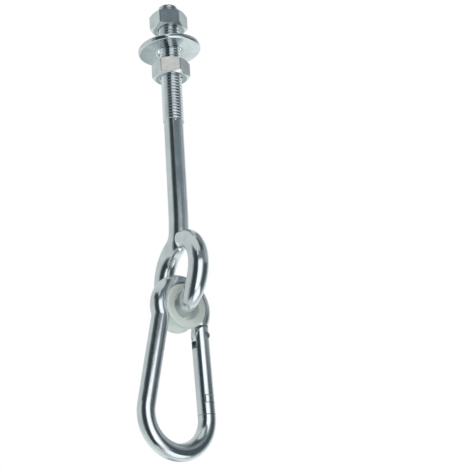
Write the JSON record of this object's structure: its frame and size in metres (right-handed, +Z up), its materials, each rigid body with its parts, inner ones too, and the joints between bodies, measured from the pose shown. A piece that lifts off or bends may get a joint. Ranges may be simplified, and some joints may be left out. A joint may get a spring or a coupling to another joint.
{
  "type": "hammock hook",
  "caption": "Threaded eye bolt with two nuts and a washer for clamping a beam, and a gated snap hook that swings on a nylon bush in its eye.",
  "frame": {"origin": "on the bolt's axis at the top face of the lower nut, where the underside of the beam sits", "axes": "+Z up along the bolt, +Y across the plane of the eye, +X towards the gate side of the hook"},
  "size_m": [0.0426, 0.0414, 0.223],
  "materials": {
    "bright_steel": "bright zinc plating",
    "nut_steel": "satin zinc plating",
    "rivet_steel": "satin",
    "spring_steel": "bright",
    "nylon": "natural nylon, satin"
  },
  "bodies": {
    "bolt": {"eye_bolt": "bright_steel", "lower_nut": "nut_steel", "washer": "nut_steel", "top_nut": "nut_steel"},
    "bush": {"bush": "nylon"},
    "hook": {"hook_body": "bright_steel", "gate_rivet": "rivet_steel"},
    "gate": {"gate": "bright_steel", "gate_spring": "spring_steel"},
    "plunger": {"gate_plunger": "rivet_steel"}
  },
  "joints": [
    {"name": "side_swing", "type": "hinge", "parent": "bolt", "child": "bush", "pos_m": [-0.0019, -0.00275, -0.10769], "axis": [0.9973, 0, -0.0732], "range_deg": [-90, 90]},
    {"name": "hook_swing", "type": "hinge", "parent": "bush", "child": "hook", "pos_m": [-0.0031, -0.00275, -0.124], "axis": [-0.1184, 0.993, 0], "range_deg": [-115, 115]},
    {"name": "gate_hinge", "type": "hinge", "parent": "hook", "child": "gate", "pos_m": [0.00778, -0.00145, -0.13578], "axis": [-0.1184, 0.993, 0], "range_deg": [0, 28], "stiffness_Nm_per_rad": 0.15, "springref_deg": -22.92},
    {"name": "plunger_slide", "type": "slide", "parent": "gate", "child": "plunger", "axis": [0.0347, 0.0041, -0.9994], "range_m": [0, 0.00075], "deforming": ["gate_spring"]}
  ],
  "couplings": [
    {"joint": "plunger_slide", "follows": "gate_hinge", "m_per_rad": 0.001485}
  ]
}
